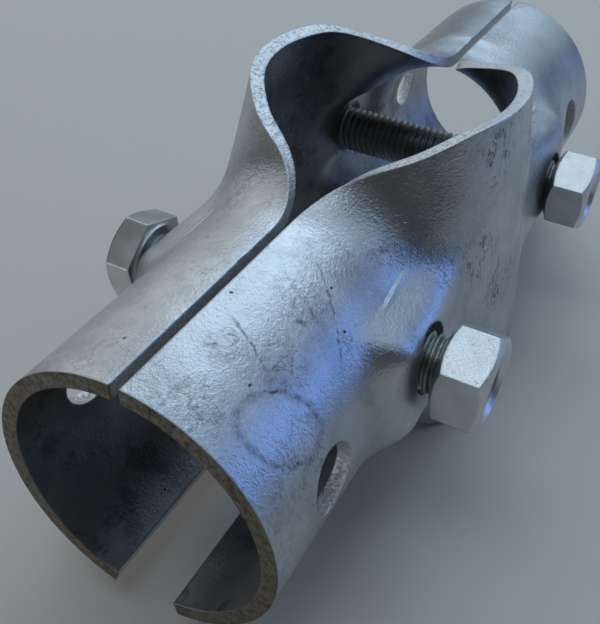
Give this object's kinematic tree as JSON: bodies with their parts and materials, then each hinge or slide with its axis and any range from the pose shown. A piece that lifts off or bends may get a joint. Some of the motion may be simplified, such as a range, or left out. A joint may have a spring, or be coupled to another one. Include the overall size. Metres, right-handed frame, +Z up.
{
  "type": "tube t-clamp",
  "caption": "Two-piece pressed steel clamp with round rail sockets at both ends and a taller collar between them for an upright post, drawn together by hex bolts.",
  "frame": {"origin": "where the rail axis crosses the post axis, in the middle of the collar", "axes": "+X along the rail axis towards the far socket, +Y towards the bolt heads, +Z up along the post axis"},
  "size_m": [0.1884, 0.0841, 0.0732],
  "materials": {
    "galvanised_sheet": "hot-dip galvanised, satin, mottled, with scuffs and dark specks",
    "zinc_bolt": "zinc plated, satin, darker on the thread",
    "zinc_nut": "bright zinc plated, smooth"
  },
  "bodies": {
    "root": {"clamp_half_left": "galvanised_sheet", "clamp_half_right": "galvanised_sheet", "bolt_near": "zinc_bolt", "bolt_far": "zinc_bolt", "nut_near": "zinc_nut", "nut_far": "zinc_nut"}
  },
  "joints": []
}
